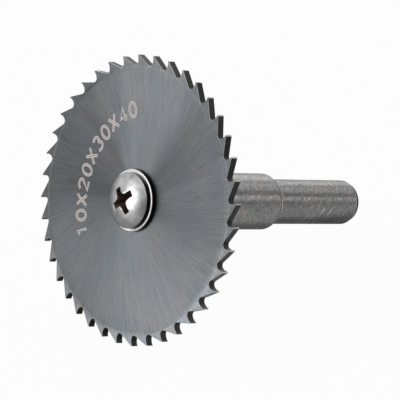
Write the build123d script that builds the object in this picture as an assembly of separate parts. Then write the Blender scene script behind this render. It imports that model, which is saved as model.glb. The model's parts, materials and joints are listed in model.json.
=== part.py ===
from build123d import *
from math import atan2, cos, degrees, hypot, pi, radians, sin, sqrt, tan
import os

# Slotting cutter: a thin fine-toothed saw blade, clamped against the shoulder of a stepped
# arbor by a washer and a pan-head screw. The arbor's shank is held in a collet or a chuck.
#
# Each piece is drawn on the spindle, which is the Z axis. Z = 0 is the blade's front face,
# and the screw's head stands on the +Z side of it. The last step lays the whole tool down
# as it rests on a bench, on two neighbouring tooth tips and the end of the shank, with the
# origin on the bench under the middle of the tool. All lengths are in millimetres.

# Blade blank
blade_diameter = 50.0
blade_thickness = 1.5
bore_diameter = 8.0
# A narrow slope, just inside the gullets, takes both sides down to the thinner toothed rim.
side_slope_diameter = 45.1
side_slope_width = 0.55
side_slope_depth = 0.05

# Teeth, which point counter-clockwise as the screw's head is seen
tooth_count = 40
tooth_depth = 1.84
rake_angle = 27.0
rake_face_radius = 1.83
gullet_radius = 0.64
land_width = 0.26
land_relief_angle = 8.0

# Arbor
collar_diameter = 10.0
collar_length = 30.0
collar_bevel_length = 1.2
collar_bevel_depth = 0.7
shank_diameter = 8.0
shank_length = 20.2
shank_bevel_length = 1.2
shank_bevel_depth = 0.55
collar_front_chamfer = 0.2
# The spigot carries the blade, and stops short of its front face so that the washer grips it.
spigot_clearance = 0.02
spigot_setback = 0.3
spigot_chamfer = 0.25

# Clamping screw and the tapped hole that it turns in
thread_diameter = 5.0
thread_length = 12.0
thread_point_chamfer = 0.6
thread_clearance = 0.05
hole_runout = 3.0
hole_mouth_chamfer = 0.4
drill_point_angle = 118.0
head_diameter = 9.7
head_wall_height = 0.67
head_dome_height = 1.65
head_edge_radius = 0.12

# Cross recess in the screw's head: its size at the top of the dome and at its floor
recess_span = 5.5
recess_slot_width = 1.25
recess_corner_radius = 0.7
recess_floor_span = 2.5
recess_floor_slot_width = 0.75
recess_floor_corner_radius = 0.2
recess_depth = 2.7
recess_turn = 52.5

# Washer
washer_diameter = 10.8
washer_thickness = 0.8
washer_bore_clearance = 0.15
washer_edge_radius = 0.3

# Heights along the spindle that the pieces share
blade_front = 0.0
blade_back = blade_front - blade_thickness
spigot_front = blade_front - spigot_setback
collar_back = blade_back - collar_length
shank_end = collar_back - shank_length
head_seat = blade_front + washer_thickness
head_top = head_seat + head_wall_height + head_dome_height
thread_end = head_seat - thread_length
hole_floor = thread_end - hole_runout

blade_radius = blade_diameter / 2
tooth_pitch = 2 * pi / tooth_count
# Half a pitch each side of straight down puts two tips on the bench.
first_tip_angle = -pi / 2 + tooth_pitch / 2


def turned(section):
    """Solid that a half-section, drawn as radius and height, sweeps round the spindle."""
    return revolve(Plane.XZ * section, Axis.Z)


def rounded_at(section, radius, height, rounding):
    """Half-section with its corner at this radius and height rounded."""
    corner = min(section.vertices(), key=lambda spot: hypot(spot.X - radius, spot.Y - height))
    return fillet(corner, rounding)


def on_circle(radius, angle):
    """Point of the blade's plane at this radius and angle about the spindle."""
    return Vector(radius * cos(angle), radius * sin(angle))


def arc_about(centre, start, end):
    """Arc of under half a turn from start to end, about this centre."""
    radius = (start - centre).length
    towards_middle = (start + end - centre * 2).normalized()
    return ThreePointArc(start, centre + towards_middle * radius, end)


def gullet_centre(face_centre):
    """Centre of the gullet's arc: it touches the rake face's arc inside and the root circle."""
    orbit = blade_radius - tooth_depth + gullet_radius
    offset = rake_face_radius - gullet_radius
    reach = face_centre.length
    along = (orbit**2 - offset**2 + reach**2) / (2 * reach)
    across = sqrt(orbit**2 - along**2)
    outward = face_centre.normalized()
    behind = Vector(outward.Y, -outward.X)
    return outward * along + behind * across


def back_foot(land_end, centre):
    """Point where the tooth's back, a line from the land's end, runs into the gullet's arc."""
    spoke = land_end - centre
    swing = atan2(sqrt(spoke.length**2 - gullet_radius**2), gullet_radius)
    heading = atan2(spoke.Y, spoke.X) + swing
    return centre + Vector(cos(heading), sin(heading)) * gullet_radius


def tooth_edges(tip_angle):
    """One tooth pitch: rake face, gullet, tooth back and the next tooth's land."""
    tip = on_circle(blade_radius, tip_angle)
    next_tip = on_circle(blade_radius, tip_angle + tooth_pitch)
    face_heading = tip_angle + pi / 2 + radians(rake_angle)
    face_centre = tip + Vector(cos(face_heading), sin(face_heading)) * rake_face_radius
    centre = gullet_centre(face_centre)
    face_foot = face_centre + (centre - face_centre).normalized() * rake_face_radius
    land_heading = tip_angle + tooth_pitch - pi / 2 - radians(land_relief_angle)
    land_end = next_tip + Vector(cos(land_heading), sin(land_heading)) * land_width
    foot = back_foot(land_end, centre)
    return [
        arc_about(face_centre, tip, face_foot),
        arc_about(centre, face_foot, foot),
        Line(foot, land_end),
        Line(land_end, next_tip),
    ]


def saw_blade():
    """Toothed disc with a plain bore, its toothed rim ground a little thinner than the rest."""
    edges = []
    for index in range(tooth_count):
        edges += tooth_edges(first_tip_angle + index * tooth_pitch)
    toothed = extrude(make_face(edges), blade_thickness).moved(Pos(Z=blade_back))
    bore_radius = bore_diameter / 2
    slope_start = side_slope_diameter / 2
    slope_end = slope_start + side_slope_width
    rim_back = blade_back + side_slope_depth
    rim_front = blade_front - side_slope_depth
    blank_outline = Polyline(
        (bore_radius, blade_back),
        (slope_start, blade_back),
        (slope_end, rim_back),
        (blade_radius, rim_back),
        (blade_radius, rim_front),
        (slope_end, rim_front),
        (slope_start, blade_front),
        (bore_radius, blade_front),
        close=True,
    )
    return toothed & turned(make_face(blank_outline))


def arbor():
    """Stepped bar: spigot, collar and shank, with a tapped hole in the spigot's end."""
    spigot_radius = bore_diameter / 2 - spigot_clearance
    collar_radius = collar_diameter / 2
    shank_radius = shank_diameter / 2
    hole_radius = thread_diameter / 2 + thread_clearance
    drill_point = hole_radius / tan(radians(drill_point_angle / 2))
    outline = Polyline(
        (0, shank_end),
        (shank_radius - shank_bevel_depth, shank_end),
        (shank_radius, shank_end + shank_bevel_length),
        (shank_radius, collar_back),
        (collar_radius - collar_bevel_depth, collar_back),
        (collar_radius, collar_back + collar_bevel_length),
        (collar_radius, blade_back - collar_front_chamfer),
        (collar_radius - collar_front_chamfer, blade_back),
        (spigot_radius, blade_back),
        (spigot_radius, spigot_front - spigot_chamfer),
        (spigot_radius - spigot_chamfer, spigot_front),
        (hole_radius + hole_mouth_chamfer, spigot_front),
        (hole_radius, spigot_front - hole_mouth_chamfer),
        (hole_radius, hole_floor),
        (0, hole_floor - drill_point),
        close=True,
    )
    return turned(make_face(outline))


def washer():
    """Flat washer between the blade and the screw's head, its outer top edge rounded."""
    inner = thread_diameter / 2 + washer_bore_clearance
    outer = washer_diameter / 2
    outline = Polyline(
        (inner, blade_front),
        (outer, blade_front),
        (outer, head_seat),
        (inner, head_seat),
        close=True,
    )
    return turned(rounded_at(make_face(outline), outer, head_seat, washer_edge_radius))


def cross(span, slot_width, corner_radius):
    """Outline of the cross recess at one height, its inner corners rounded."""
    plan = Rectangle(span, slot_width) + Rectangle(slot_width, span)
    inner_corners = plan.vertices().sort_by(lambda corner: hypot(corner.X, corner.Y))[:4]
    return fillet(inner_corners, corner_radius)


def recess():
    """Tapered cross that the driver's tip fills, turned to where the screw came tight."""
    mouth = Pos(Z=head_top) * cross(recess_span, recess_slot_width, recess_corner_radius)
    floor = Pos(Z=head_top - recess_depth) * cross(
        recess_floor_span, recess_floor_slot_width, recess_floor_corner_radius
    )
    return loft([floor, mouth], ruled=True).rotate(Axis.Z, recess_turn)


def clamp_screw():
    """Pan-head screw with a cross recess, its thread drawn as a plain stud."""
    head_radius = head_diameter / 2
    stud_radius = thread_diameter / 2
    dome_foot = head_seat + head_wall_height
    dome_radius = (head_radius**2 + head_dome_height**2) / (2 * head_dome_height)
    sides = Polyline(
        (0, head_top),
        (0, thread_end),
        (stud_radius - thread_point_chamfer, thread_end),
        (stud_radius, thread_end + thread_point_chamfer),
        (stud_radius, head_seat),
        (head_radius, head_seat),
        (head_radius, dome_foot),
    )
    dome = arc_about(Vector(0, head_top - dome_radius), sides @ 1, sides @ 0)
    blank = rounded_at(make_face([sides, dome]), head_radius, dome_foot, head_edge_radius)
    return turned(blank) - recess()


def resting_tilt():
    """Rise of the spindle above the bench, in radians, with tooth tips and shank touching it."""
    tip_drop = blade_radius * cos(tooth_pitch / 2)
    tip_height = blade_back + side_slope_depth
    shank_radius = shank_diameter / 2
    shank_corners = [
        (shank_radius, shank_end + shank_bevel_length),
        (shank_radius - shank_bevel_depth, shank_end),
    ]
    return min(atan2(tip_drop - radius, tip_height - height) for radius, height in shank_corners)


def main():
    """Builds each piece on the spindle, lays the tool on the bench and writes the pieces."""
    pieces = {
        "saw_blade": saw_blade(),
        "arbor": arbor(),
        "washer": washer(),
        "clamp_screw": clamp_screw(),
    }
    laid_down = Rot(X=90 - degrees(resting_tilt()))
    box = Compound(children=[laid_down * piece for piece in pieces.values()]).bounding_box()
    on_bench = Pos(-box.center().X, -box.center().Y, -box.min.Z) * laid_down
    os.makedirs("parts", exist_ok=True)
    for name, piece in pieces.items():
        export_step(on_bench * piece, f"parts/{name}.step")
    print("spindle rises", round(degrees(resting_tilt()), 3), "degrees")
    print("blade front centre", tuple(round(value, 4) for value in on_bench.position))


main()
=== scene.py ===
"""Looks of a slotting cutter: a fine-toothed saw blade that a washer and a screw clamp on a stepped arbor.

Each piece is drawn on the spindle, in millimetres. Z runs along the spindle towards the screw's head, and
Z = 0 is the blade's front face. `Spindle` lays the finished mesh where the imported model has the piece.
"""

import json
import logging
from collections.abc import Callable, Iterable, Sequence
from dataclasses import dataclass, field
from enum import Enum, IntEnum
from math import acos, atan2, cos, hypot, pi, radians, sin, sqrt, tan

import bmesh
import bpy
from mathutils import Matrix, Vector
from mathutils.geometry import delaunay_2d_cdt


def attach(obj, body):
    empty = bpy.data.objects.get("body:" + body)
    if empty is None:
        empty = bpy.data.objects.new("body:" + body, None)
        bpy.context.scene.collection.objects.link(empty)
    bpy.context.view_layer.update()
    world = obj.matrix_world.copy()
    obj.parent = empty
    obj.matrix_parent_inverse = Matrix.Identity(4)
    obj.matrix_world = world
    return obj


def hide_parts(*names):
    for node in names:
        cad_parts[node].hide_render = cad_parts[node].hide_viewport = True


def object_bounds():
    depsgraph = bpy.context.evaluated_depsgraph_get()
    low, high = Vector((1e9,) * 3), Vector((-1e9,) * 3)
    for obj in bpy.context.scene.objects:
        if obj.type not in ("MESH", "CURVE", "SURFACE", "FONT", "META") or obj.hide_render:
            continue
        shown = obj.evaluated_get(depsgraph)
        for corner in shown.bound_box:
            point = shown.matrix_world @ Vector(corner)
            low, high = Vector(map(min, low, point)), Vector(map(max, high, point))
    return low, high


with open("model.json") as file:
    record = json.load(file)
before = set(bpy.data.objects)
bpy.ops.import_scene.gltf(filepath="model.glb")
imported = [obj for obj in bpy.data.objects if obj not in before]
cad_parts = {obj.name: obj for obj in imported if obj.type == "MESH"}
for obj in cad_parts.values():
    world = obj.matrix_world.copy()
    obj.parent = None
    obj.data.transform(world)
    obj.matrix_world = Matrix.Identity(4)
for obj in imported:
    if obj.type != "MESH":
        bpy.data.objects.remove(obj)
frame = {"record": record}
cad_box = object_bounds()

log = logging.getLogger("slotting_cutter")

MM = 0.001
TINY = 1e-6
MERGE_DISTANCE = 1e-5
BODY = "root"
ZONE = "zone"

Pair = tuple[float, float]
Triple = tuple[float, float, float]
Wedges = tuple[Triple, ...]
Section = list[Pair]
Row = list[bmesh.types.BMVert]
Socket = bpy.types.NodeSocket
Material = bpy.types.Material
Object = bpy.types.Object


class Slot(Enum):
    """Material slots of the record."""

    BLADE = "blade_steel"
    ARBOR = "arbor_steel"
    PLATED = "plated_steel"


class Zone(IntEnum):
    """Parts of a piece's surface that have a finish of their own."""

    FACE = 0
    FLANK = 1
    EDGE = 2
    LAND = 3
    RECESS = 4
    SIDE = 5


Finishes = dict[Zone, Material]


class Graph:
    """Wires one node tree: each call adds a node and gives it back or its output."""

    def __init__(self, tree: bpy.types.NodeTree) -> None:
        """Keeps the tree that the nodes go into."""
        self.tree = tree

    def put(self, socket: Socket, value: object) -> None:
        """Links another socket to this one, or sets a plain value on it.

        Args:
            socket: The input to fill.
            value: A socket or a plain value.
        """
        if isinstance(value, Socket):
            self.tree.links.new(value, socket)
        else:
            socket.default_value = value

    def add(self, kind: str, inputs: dict | None = None, **settings: object) -> bpy.types.Node:
        """Adds one node.

        Args:
            kind: Blender's name for the node type.
            inputs: A value or a socket for each input, by the input's name or number.
            settings: The node's own options.

        Returns:
            The new node.
        """
        node = self.tree.nodes.new(kind)
        for name, value in settings.items():
            setattr(node, name, value)
        for key, value in (inputs or {}).items():
            self.put(node.inputs[key], value)
        return node

    def out(self, kind: str, inputs: dict | None = None, **settings: object) -> Socket:
        """First output of a new node."""
        return self.add(kind, inputs, **settings).outputs[0]

    def math(self, operation: str, *values: object) -> Socket:
        """Result of one sum on numbers."""
        return self.out("ShaderNodeMath", dict(enumerate(values)), operation=operation)


class ShaderGraph(Graph):
    """Graph of a material, with short names for the nodes that a finish is made of."""

    def position(self) -> Socket:
        """Place in the object's coordinates, in metres."""
        return self.add("ShaderNodeTexCoord").outputs["Object"]

    def product(self, first: object, *others: object) -> Socket:
        """Product of two or more numbers.

        Args:
            first: The first factor.
            others: The other factors.

        Returns:
            The product.
        """
        for other in others:
            first = self.math("MULTIPLY", first, other)
        return first

    def vector(self, operation: str, *values: object) -> Socket:
        """Result of one sum on vectors."""
        node = self.add("ShaderNodeVectorMath", dict(enumerate(values)), operation=operation)
        return node.outputs["Value" if operation in ("DOT_PRODUCT", "LENGTH") else "Vector"]

    def turn(self, vector: Socket, angle: object) -> Socket:
        """Vector turned about Z."""
        inputs = {"Vector": vector, "Axis": (0.0, 0.0, 1.0), "Angle": angle}
        return self.out("ShaderNodeVectorRotate", inputs, rotation_type="AXIS_ANGLE")

    def split(self, vector: Socket) -> bpy.types.NodeOutputs:
        """The three parts of a vector."""
        return self.add("ShaderNodeSeparateXYZ", {0: vector}).outputs

    def join(self, *parts: object) -> Socket:
        """Vector of three parts."""
        return self.out("ShaderNodeCombineXYZ", dict(enumerate(parts)))

    def noise(self, where: Socket, scale: float, detail: float = 2.0) -> Socket:
        """Soft noise from 0 to 1, with features of about 1 / scale."""
        return self.out("ShaderNodeTexNoise", {"Vector": where, "Scale": scale, "Detail": detail})

    def between(self, value: object, low: float, high: float, start: float = 0.0, end: float = 1.0) -> Socket:
        """Smooth rise from start to end as the value goes from low to high.

        Args:
            value: The number that is looked at.
            low: Where the rise starts.
            high: Where the rise ends.
            start: The result below low.
            end: The result above high.

        Returns:
            The risen value.
        """
        inputs = {"Value": value, "From Min": low, "From Max": high, "To Min": start, "To Max": end}
        return self.out("ShaderNodeMapRange", inputs, interpolation_type="SMOOTHSTEP")

    def swing(self, noise: Socket, start: float = 0.0, end: float = 1.0, spread: float = 0.2) -> Socket:
        """Value from start to end with a noise that mostly stays this near to 0.5."""
        return self.between(noise, 0.5 - spread, 0.5 + spread, start, end)

    def tint(self, factor: object, first: object, second: object) -> Socket:
        """Colour that goes from the first to the second with the factor.

        Args:
            factor: Share of the second colour.
            first: The first colour.
            second: The second colour.

        Returns:
            The mixed colour.
        """
        node = self.add("ShaderNodeMix", data_type="RGBA")
        for number, value in ((0, factor), (6, first), (7, second)):
            self.put(node.inputs[number], (*value, 1.0) if isinstance(value, tuple) else value)
        return node.outputs[2]

    def shade(self, colour: object, amount: object) -> Socket:
        """Colour made lighter or darker by this factor."""
        return self.out("ShaderNodeVectorMath", {0: colour, "Scale": amount}, operation="SCALE")


class Spindle:
    """The line that the tool turns on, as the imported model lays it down."""

    def __init__(self, record: dict, shank_middle: float) -> None:
        """Finds the spindle from the record's shank mount.

        Args:
            record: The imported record.
            shank_middle: Height on the spindle of the middle of the shank's straight part.
        """
        mount = next(mount for mount in record["mounts"] if mount["name"] == "shank")
        self.forward = -Vector(mount["axis"]).normalized()
        self.centre = Vector(mount["pos_m"]) - self.forward * (shank_middle * MM)
        across = Vector((1.0, 0.0, 0.0))
        self.turn = Matrix((across, self.forward.cross(across), self.forward)).transposed()

    def to_row(self) -> Matrix:
        """Matrix from millimetres on the spindle to metres in the row frame."""
        return Matrix.Translation(self.centre) @ self.turn.to_4x4() @ Matrix.Scale(MM, 4)

    def coordinates(self, graph: ShaderGraph) -> Socket:
        """Position on the spindle, in millimetres, for a material."""
        place = {"Location": self.centre, "Rotation": self.turn.to_euler(), "Scale": (MM, MM, MM)}
        return graph.out("ShaderNodeMapping", {"Vector": graph.position(), **place}, vector_type="TEXTURE")


class Finish:
    """A material in the making: its graph, its place on the spindle and its surface shader."""

    def __init__(self, name: str, spindle: Spindle) -> None:
        """Starts the material.

        Args:
            name: The material's name.
            spindle: Where the tool lies.
        """
        self.spindle = spindle
        self.material = bpy.data.materials.new(name)
        self.material.use_nodes = True
        self.graph = ShaderGraph(self.material.node_tree)
        self.surface = self.material.node_tree.nodes["Principled BSDF"]
        self.place = spindle.coordinates(self.graph)

    def wire(self, **values: object) -> None:
        """Links sockets to the surface shader's inputs, or sets plain values, with _ for a space."""
        for key, value in values.items():
            self.graph.put(self.surface.inputs[key.replace("_", " ")], value)

    def bump(self, height: Socket, depth: float, strength: float) -> None:
        """Raises the surface by a height from 0 to 1, which stands for this depth in millimetres."""
        inputs = {"Height": height, "Distance": depth * MM, "Strength": strength}
        self.wire(Normal=self.graph.out("ShaderNodeBump", inputs))


@dataclass(frozen=True)
class Look:
    """What a material looks like. Each kind of look wires itself up in `dress`."""

    name: str

    def dress(self, finish: Finish) -> None:
        """Wires the look up on a material in the making."""
        raise NotImplementedError

    def material(self, spindle: Spindle) -> Material:
        """Makes a material of this look.

        Args:
            spindle: Where the tool lies.

        Returns:
            The material.
        """
        finish = Finish(self.name, spindle)
        self.dress(finish)
        return finish.material


@dataclass(frozen=True)
class GroundSteel(Look):
    """Side of the blade: blue-grey steel with fine grinding lines that run out from the bore.

    Each wedge is a part of the disc with painted sheen or painted shade, lighter or darker than the rest. It
    has a heading and a half width in degrees, and the share of lightness that it adds. Near the hub, beside
    the washer, the disc also has painted shade.
    """

    name: str = "ground_steel"
    colour: Triple = (0.187, 0.205, 0.223)
    warm: Triple = (0.203, 0.210, 0.219)
    # Painted sheen and shade over the whole disc, by heading.
    painted_wedges: Wedges = (
        (218.0, 28.0, 0.09), (198.0, 22.0, -0.06), (166.0, 38.0, -0.29), (130.0, 21.0, -0.2),
        (96.0, 32.0, -0.06), (62.0, 16.0, -0.05), (48.0, 24.0, -0.24), (10.0, 28.0, -0.08),
    )
    # Painted shade near the hub, beside the washer and the screw's head, with painted wedges of its own.
    hub_reach: Pair = (8.0, 21.0)
    hub_shade: float = 0.89
    hub_painted_wedges: Wedges = (
        (20.0, 18.0, 0.09), (62.0, 18.0, -0.07), (120.0, 16.0, 0.14), (207.0, 36.0, -0.09),
        (340.0, 14.0, 0.05),
    )
    # Painted sheen and shade on the ground slope and on the teeth, by heading.
    slope_start: Pair = (22.55, 22.75)
    slope_painted_wedges: Wedges = (
        (24.0, 50.0, -0.42), (112.0, 30.0, 0.24), (156.0, 26.0, -0.24), (182.0, 38.0, 0.55),
        (262.0, 45.0, 1.05), (295.0, 25.0, 0.12),
    )
    teeth_start: Pair = (23.0, 23.15)
    teeth_painted_wedges: Wedges = ((-28.0, 48.0, 0.42), (260.0, 46.0, 0.8))
    wedge_core: float = 0.2
    roughness: float = 0.37
    anisotropy: float = 0.62
    line_twist: float = -0.008
    line_drift: float = 0.003
    fine_lines: float = 105.0
    fine_swing: Triple = (0.9, 1.09, 0.17)
    fine_depth: float = 0.002
    coarse_lines: float = 52.0
    coarse_swing: Triple = (0.96, 1.04, 0.15)
    coarse_roughness: Pair = (-0.04, 0.04)
    scratch_lines: float = 70.0
    scratch_offset: Triple = (3.0, 1.0, 2.0)
    scratch_level: Pair = (0.6, 0.68)
    scratch_shade: float = 0.86
    cloud_scale: float = 5.0
    cloud_swing: Pair = (0.97, 1.03)
    stain_scale: float = 0.16
    stain_spread: float = 0.12

    def painted_light(self, graph: ShaderGraph, spoke: Socket, painted_wedges: Wedges, there: object) -> Socket:
        """Painted sheen and shade that wedges of the disc have on top of the rest.

        Args:
            graph: The material's graph.
            spoke: Direction from the spindle, of length 1.
            painted_wedges: The wedges of painted sheen and shade.
            there: How far they show at a point, from 0 to 1.

        Returns:
            The factor, 1 outside the wedges.
        """
        total = 1.0
        for heading, half_width, share in painted_wedges:
            towards = graph.vector("DOT_PRODUCT", spoke, (*on_circle(1.0, radians(heading)), 0.0))
            edge, core = cos(radians(half_width)), cos(radians(half_width * self.wedge_core))
            risen = graph.between(towards, edge, core, 0.0, share)
            total = graph.math("ADD", total, graph.product(risen, there))
        return total

    def dress(self, finish: Finish) -> None:
        """Wires up the grinding lines, scratches, clouds and stains, and the painted sheen and shade of the
        wedges and the hub.

        Args:
            finish: The material in the making.
        """
        graph, spindle = finish.graph, finish.spindle
        x, y, _ = graph.split(finish.place)
        in_plane = graph.join(x, y, 0.0)
        radius = graph.vector("LENGTH", in_plane)
        spoke = graph.vector("NORMALIZE", in_plane)
        heading = graph.turn(spoke, graph.product(radius, self.line_twist))
        lines = graph.vector("ADD", heading, graph.join(0.0, 0.0, graph.product(radius, self.line_drift)))
        fine = graph.noise(lines, self.fine_lines, detail=4.0)
        coarse = graph.noise(lines, self.coarse_lines)
        aside = graph.vector("ADD", lines, self.scratch_offset)
        scratches = graph.noise(aside, self.scratch_lines, detail=1.0)
        clouds = graph.noise(finish.place, self.cloud_scale, detail=1.0)
        stains = graph.noise(finish.place, self.stain_scale, detail=3.0)
        on_teeth = graph.between(radius, *self.teeth_start)
        on_slope = graph.math("SUBTRACT", graph.between(radius, *self.slope_start), on_teeth)
        near_hub = graph.between(radius, *self.hub_reach, 1.0, 0.0)
        # Grain, scratches and clouds, times the painted shade near the hub and the painted sheen and shade of
        # the wedges.
        lightness = graph.product(
            graph.swing(fine, *self.fine_swing),
            graph.swing(coarse, *self.coarse_swing),
            graph.between(scratches, *self.scratch_level, 1.0, self.scratch_shade),
            graph.swing(clouds, *self.cloud_swing),
            graph.between(radius, *self.hub_reach, self.hub_shade, 1.0),
            self.painted_light(graph, heading, self.painted_wedges, 1.0),
            self.painted_light(graph, heading, self.hub_painted_wedges, near_hub),
            self.painted_light(graph, spoke, self.slope_painted_wedges, on_slope),
            self.painted_light(graph, spoke, self.teeth_painted_wedges, on_teeth),
        )
        tone = graph.tint(graph.swing(stains, spread=self.stain_spread), self.colour, self.warm)
        outwards = graph.vector("SUBTRACT", graph.position(), spindle.centre)
        around = graph.vector("CROSS_PRODUCT", spindle.forward, outwards)
        finish.wire(
            Metallic=1.0,
            Anisotropic=self.anisotropy,
            Base_Color=graph.shade(tone, lightness),
            Roughness=graph.math("ADD", self.roughness, graph.swing(coarse, *self.coarse_roughness)),
            Tangent=graph.vector("NORMALIZE", around),
        )
        finish.bump(fine, self.fine_depth, strength=0.4)


@dataclass(frozen=True)
class GrainySteel(Look):
    """Steel of one colour, which a fine grain makes lighter and darker by the swing."""

    colour: Triple
    roughness: float = 0.4
    metallic: float = 1.0
    grain: float = 0.15
    swing: float = 0.25
    grain_depth: float = 0.0

    def dress(self, finish: Finish) -> None:
        """Wires up the grain.

        Args:
            finish: The material in the making.
        """
        grain = finish.graph.noise(finish.place, 1.0 / self.grain, detail=4.0)
        lightness = finish.graph.swing(grain, 1 - self.swing, 1 + self.swing)
        finish.wire(
            Metallic=self.metallic,
            Base_Color=finish.graph.shade(self.colour, lightness),
            Roughness=self.roughness,
        )
        if self.grain_depth:
            finish.bump(grain, self.grain_depth, strength=0.6)


@dataclass(frozen=True)
class OxideSteel(GrainySteel):
    """Faces between the teeth: nearly black, as the heat treatment leaves them."""

    name: str = "oxide_steel"
    colour: Triple = (0.042, 0.042, 0.04)
    roughness: float = 0.42
    grain: float = 0.12
    swing: float = 0.55
    grain_depth: float = 0.01


@dataclass(frozen=True)
class WearAndHighlightSteel(GrainySteel):
    """Bright steel where an edge or a land is freshly ground. On the arbor's rims, made less metallic, it is
    partly a painted highlight.
    """

    name: str = "wear_and_highlight_steel"
    colour: Triple = (0.6, 0.6, 0.595)


@dataclass(frozen=True)
class PaintedShadeSteel(GrainySteel):
    """Painted shade: nearly black steel on the side walls of the screw's head and the washer, and inside the
    screw's recess.
    """

    name: str = "painted_shade_steel"
    colour: Triple = (0.02, 0.016, 0.014)
    roughness: float = 0.38
    grain: float = 0.3
    swing: float = 0.35


@dataclass(frozen=True)
class TurnedSteel(Look):
    """Skin of the arbor: dull grey steel with turning flecks, faint stains and a few scratches."""

    name: str = "turned_steel"
    colour: Triple = (0.24, 0.24, 0.238)
    dull: Triple = (0.203, 0.205, 0.206)
    warm: Triple = (0.262, 0.232, 0.224)
    scratch_colour: Triple = (0.6, 0.6, 0.6)
    roughness: float = 0.31
    anisotropy: float = 0.5
    line_stretch: Triple = (0.9, 0.9, 5.0)
    line_swing: Pair = (0.92, 1.09)
    fleck_size: float = 0.2
    fleck_stretch: Triple = (0.5, 0.5, 1.1)
    fleck_swing: Triple = (0.76, 1.25, 0.16)
    fleck_roughness: Pair = (0.05, -0.04)
    fleck_depth: float = 0.012
    mottle_size: float = 0.9
    mottle_spread: float = 0.12
    stain_stretch: Triple = (0.5, 0.5, 0.35)
    stain_level: Pair = (0.5, 0.7)
    stain_share: float = 0.8
    scratch_radius: float = 4.0
    scratch_lean: float = 0.42
    scratch_stretch: Triple = (0.26, 3.2, 1.0)
    scratch_level: Pair = (0.6, 0.66)
    scratch_start: Pair = (-40.0, -36.0)
    scratch_side: Pair = (0.0, 1.5)
    scratch_strength: Pair = (0.8, 0.15)
    shank_front: float = -31.5
    shank_blend: float = 0.1
    shank_shade: float = 0.9

    def scratches(self, finish: Finish) -> Socket:
        """Where the slanting scratches of the shank are.

        Args:
            finish: The material in the making.

        Returns:
            Their strength, from 0 to 1.
        """
        graph = finish.graph
        x, y, z = graph.split(finish.place)
        across = graph.product(graph.math("ARCTAN2", y, x), self.scratch_radius)
        leaning = graph.turn(graph.join(across, z, 0.0), self.scratch_lean)
        strokes = graph.noise(graph.vector("MULTIPLY", leaning, self.scratch_stretch), 1.0, detail=1.0)
        return graph.product(
            graph.between(strokes, *self.scratch_level),
            graph.between(z, *self.scratch_start, 1.0, 0.0),
            graph.between(across, *self.scratch_side, *self.scratch_strength),
        )

    def dress(self, finish: Finish) -> None:
        """Wires up the turning lines, flecks, stains and scratches.

        Args:
            finish: The material in the making.
        """
        graph, place = finish.graph, finish.place
        lines = graph.noise(graph.vector("MULTIPLY", place, self.line_stretch), 1.0, detail=3.0)
        squeezed = graph.vector("MULTIPLY", place, self.fleck_stretch)
        flecks = graph.noise(squeezed, 1.0 / self.fleck_size, detail=3.0)
        mottle = graph.noise(place, 1.0 / self.mottle_size, detail=3.0)
        stains = graph.noise(graph.vector("MULTIPLY", place, self.stain_stretch), 1.0)
        tone = graph.tint(graph.swing(mottle, spread=self.mottle_spread), self.dull, self.colour)
        tone = graph.tint(graph.between(stains, *self.stain_level, 0.0, self.stain_share), tone, self.warm)
        tone = graph.tint(self.scratches(finish), tone, self.scratch_colour)
        front = (self.shank_front - self.shank_blend, self.shank_front + self.shank_blend)
        lightness = graph.product(
            graph.swing(lines, *self.line_swing),
            graph.swing(flecks, *self.fleck_swing),
            graph.between(graph.split(place)[2], *front, self.shank_shade, 1.0),
        )
        finish.wire(
            Metallic=1.0,
            Anisotropic=self.anisotropy,
            Base_Color=graph.shade(tone, lightness),
            Roughness=graph.math("ADD", self.roughness, graph.swing(flecks, *self.fleck_roughness)),
            Tangent=graph.join(*finish.spindle.forward),
        )
        finish.bump(flecks, self.fleck_depth, strength=0.6)


@dataclass(frozen=True)
class SatinNickel(Look):
    """Bright satin plating of the screw and the washer, with painted shade that may darken the +X side."""

    name: str = "satin_nickel"
    colour: Triple = (0.5, 0.5, 0.502)
    roughness: float = 0.3
    grain: float = 0.22
    grain_depth: float = 0.003
    grain_roughness: Pair = (-0.02, 0.03)
    clouds: float = 0.9
    unevenness: float = 0.05
    painted_shade_side: Pair = (1.2, 3.2)
    painted_shade_share: float = 1.0

    def dress(self, finish: Finish) -> None:
        """Wires up the grain, the clouds and the painted shade on the +X side.

        Args:
            finish: The material in the making.
        """
        graph = finish.graph
        grain = graph.noise(finish.place, 1.0 / self.grain, detail=4.0)
        uneven = (1 - self.unevenness, 1 + self.unevenness)
        lightness = graph.product(
            graph.swing(grain, *uneven),
            graph.swing(graph.noise(finish.place, self.clouds), *uneven),
            # Painted shade on the +X side, next to the screw's head.
            graph.between(graph.split(finish.place)[0], *self.painted_shade_side, 1.0, self.painted_shade_share),
        )
        finish.wire(
            Metallic=1.0,
            Base_Color=graph.shade(self.colour, lightness),
            Roughness=graph.math("ADD", self.roughness, graph.swing(grain, *self.grain_roughness)),
        )
        finish.bump(grain, self.grain_depth, strength=4 * self.unevenness)


@dataclass(frozen=True)
class EtchedMark(Look):
    """Pale marking on the blade, a little lighter along both edges of each stroke."""

    name: str = "etched_mark"
    colour: Triple = (0.33, 0.285, 0.275)
    edge_colour: Triple = (0.74, 0.68, 0.66)
    edge_start: Pair = (0.25, 0.6)
    grain_scale: float = 6.0
    grain_swing: Pair = (0.85, 1.1)
    roughness: float = 0.6

    def dress(self, finish: Finish) -> None:
        """Wires up the grain and the lighter edges of the strokes.

        Args:
            finish: The material in the making.
        """
        graph = finish.graph
        across = graph.add("ShaderNodeAttribute", attribute_name="across").outputs["Fac"]
        rim = graph.between(graph.math("ABSOLUTE", across), *self.edge_start)
        grain = graph.noise(finish.place, self.grain_scale, detail=3.0)
        tone = graph.tint(rim, self.colour, self.edge_colour)
        lightness = graph.swing(grain, *self.grain_swing)
        finish.wire(Metallic=0.0, Base_Color=graph.shade(tone, lightness), Roughness=self.roughness)


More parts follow.
